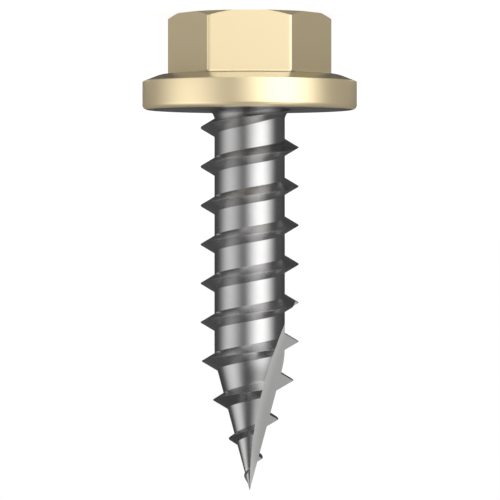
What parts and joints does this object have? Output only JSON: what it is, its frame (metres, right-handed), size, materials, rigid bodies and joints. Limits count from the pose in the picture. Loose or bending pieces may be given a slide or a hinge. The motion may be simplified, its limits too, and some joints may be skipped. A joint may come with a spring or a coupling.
{
  "type": "flanged hex head screw",
  "caption": "Self-drilling wood screw with a flanged hex head, a coarse right-hand thread and a fluted sharp point.",
  "frame": {"origin": "on the floor under the middle of the head, as the screw stands on the flat top of its hex", "axes": "+Z runs along the screw from the head up to the point, +X through a corner of the hex, +Y through one of its flats"},
  "size_m": [0.014, 0.014, 0.0311],
  "materials": {
    "steel": "zinc plated steel shank, cream painted head"
  },
  "bodies": {
    "root": {"screw": "steel"}
  },
  "joints": []
}
